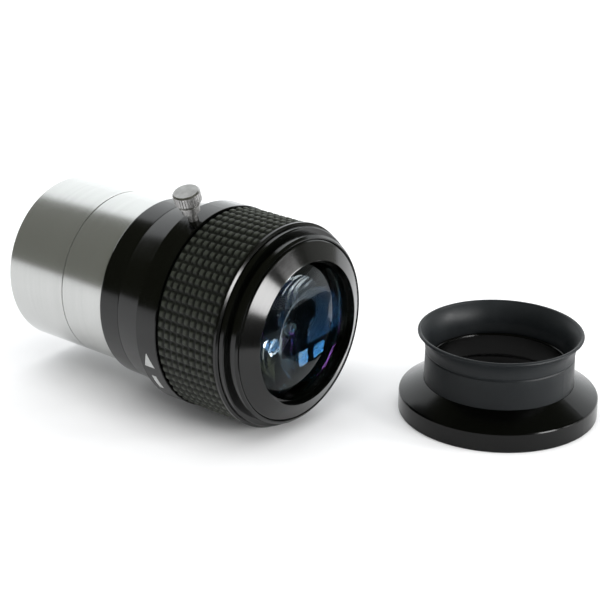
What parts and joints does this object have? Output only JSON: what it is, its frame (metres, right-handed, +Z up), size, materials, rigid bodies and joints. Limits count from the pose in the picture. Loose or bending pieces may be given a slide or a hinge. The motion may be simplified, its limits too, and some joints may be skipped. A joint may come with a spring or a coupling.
{
  "type": "telescope eyepiece",
  "caption": "Two-inch telescope eyepiece with a metal barrel, black body, sliding knurled sleeve locked by a thumbscrew, and a push-on rubber eyecup beside it.",
  "frame": {"origin": "centre of the shoulder where the barrel meets the housing, on the optical axis", "axes": "+X along the optical axis towards the eye, +Z up with the eyepiece lying on its side"},
  "size_m": [0.1595, 0.1061, 0.0689],
  "materials": {
    "satin_metal": "fine-turned, clear anodised, satin",
    "black_anodised": "glossy black anodised, fine-turned",
    "black_matt": "matt black",
    "coated_glass": "polished, multicoated",
    "grip_rubber": "moulded square studs",
    "cup_rubber": "smooth matt",
    "cup_black": "satin black",
    "seal_rubber": "smooth",
    "nickel": "nickel plated, knurled",
    "nylon": "plain"
  },
  "bodies": {
    "root": {"barrel": "satin_metal", "baffle_ring": "black_matt", "baffle_sleeve": "black_matt", "field_stop": "black_matt", "base_housing": "black_anodised", "inner_tube": "black_anodised", "guide_o_ring": "seal_rubber", "eye_bezel": "black_anodised", "eye_lens_ring": "black_anodised", "eye_crown_lens": "coated_glass", "eye_flint_lens": "coated_glass", "centre_lens": "coated_glass", "field_crown_lens": "coated_glass", "field_flint_lens": "coated_glass", "front_spacer": "black_matt", "rear_spacer": "black_matt", "field_lens_ring": "black_matt"},
    "sleeve": {"sleeve_tube": "black_anodised", "guide_screw": "nickel", "rubber_grip": "grip_rubber", "front_collar": "black_anodised"},
    "clamp_tip": {"clamp_tip": "nylon"},
    "thumb_screw": {"thumb_screw": "nickel"},
    "eyecup": {"eyecup_base": "cup_black", "eyecup_rubber": "cup_rubber"}
  },
  "joints": [
    {"name": "sleeve_slide", "type": "slide", "parent": "root", "child": "sleeve", "axis": [1, 0, 0], "range_m": [0, 0.01]},
    {"name": "screw_travel", "type": "slide", "parent": "sleeve", "child": "clamp_tip", "axis": [0, -0.309, 0.9511], "range_m": [0, 0.001]},
    {"name": "screw_turn", "type": "hinge", "parent": "clamp_tip", "child": "thumb_screw", "pos_m": [0.0215, 0, 0], "axis": [0, -0.309, 0.9511], "range_deg": [0, 720]},
    {"name": "eyecup_lift", "type": "slide", "parent": "root", "child": "eyecup", "axis": [0, 0, 1], "range_m": [0, 0.06]}
  ],
  "couplings": [
    {"joint": "screw_turn", "follows": "screw_travel", "rad_per_m": 12566}
  ]
}
